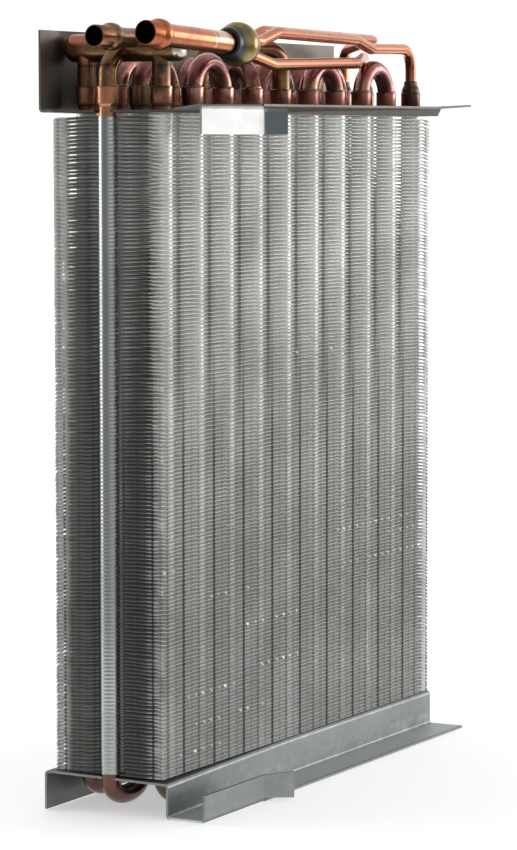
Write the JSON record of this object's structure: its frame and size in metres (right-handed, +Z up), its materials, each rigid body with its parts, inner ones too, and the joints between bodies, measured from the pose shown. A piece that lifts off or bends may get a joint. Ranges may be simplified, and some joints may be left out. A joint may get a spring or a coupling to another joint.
{
  "type": "evaporator core",
  "caption": "Finned copper-tube evaporator core held between folded end plates, with a suction header, a liquid tube, a distributor and its feeder tubes over the top.",
  "frame": {"origin": "centre of the bottom of the object's box, on the floor that the lower end plate's foot and back flange stand on", "axes": "+X along the wide finned face, away from the open pipe ends; +Y through the coil from the wide face with the foot to the back flanges; +Z up, along the tubes"},
  "size_m": [0.3512, 0.1, 0.4047],
  "materials": {
    "fin_aluminium": "thin bare aluminium, dull, edges catching the light",
    "galvanised_sheet": "galvanised sheet, grey-green sheen",
    "copper_dull": "oxidised reddish copper, satin",
    "copper_stained": "copper stained brown and olive by brazing heat",
    "copper_bright": "clean bright copper",
    "copper_dark": "copper blackened at the brazed joint",
    "brass_turned": "turned brass, heat-dulled"
  },
  "bodies": {
    "root": {"crossover_bend_high": "copper_stained", "crossover_bend_low": "copper_dull", "distributor": "brass_turned", "exposed_collars": "fin_aluminium", "feeder_back": "copper_bright", "feeder_front": "copper_bright", "feeder_middle": "copper_bright", "fin_pack": "fin_aluminium", "hairpin_row1_1": "copper_dull", "hairpin_row1_2": "copper_dull", "hairpin_row1_3": "copper_dull", "hairpin_row1_4": "copper_dull", "hairpin_row1_5": "copper_dull", "hairpin_row2_1": "copper_dull", "hairpin_row2_2": "copper_dull", "hairpin_row2_3": "copper_dull", "hairpin_row2_4": "copper_dull", "hairpin_row2_5": "copper_dull", "hairpin_row3_1": "copper_dull", "hairpin_row3_2": "copper_dull", "hairpin_row3_3": "copper_dull", "hairpin_row3_4": "copper_dull", "hairpin_row3_5": "copper_dull", "header_branch_back": "copper_stained", "header_branch_front": "copper_stained", "header_branch_middle": "copper_bright", "inlet_reducer_back": "copper_dark", "inlet_reducer_front": "copper_dark", "inlet_reducer_middle": "copper_dark", "liquid_connection": "copper_bright", "lower_end_plate": "galvanised_sheet", "return_bend_row1_1": "copper_dull", "return_bend_row1_3": "copper_dull", "return_bend_row1_4": "copper_dull", "return_bend_row2_1": "copper_dull", "return_bend_row2_3": "copper_dull", "return_bend_row2_4": "copper_dull", "return_bend_row3_1": "copper_dull", "return_bend_row3_2": "copper_dull", "return_bend_row3_3": "copper_dull", "return_bend_row3_4": "copper_dull", "suction_connection": "copper_stained", "suction_header": "copper_stained", "upper_end_plate": "galvanised_sheet"}
  },
  "joints": []
}
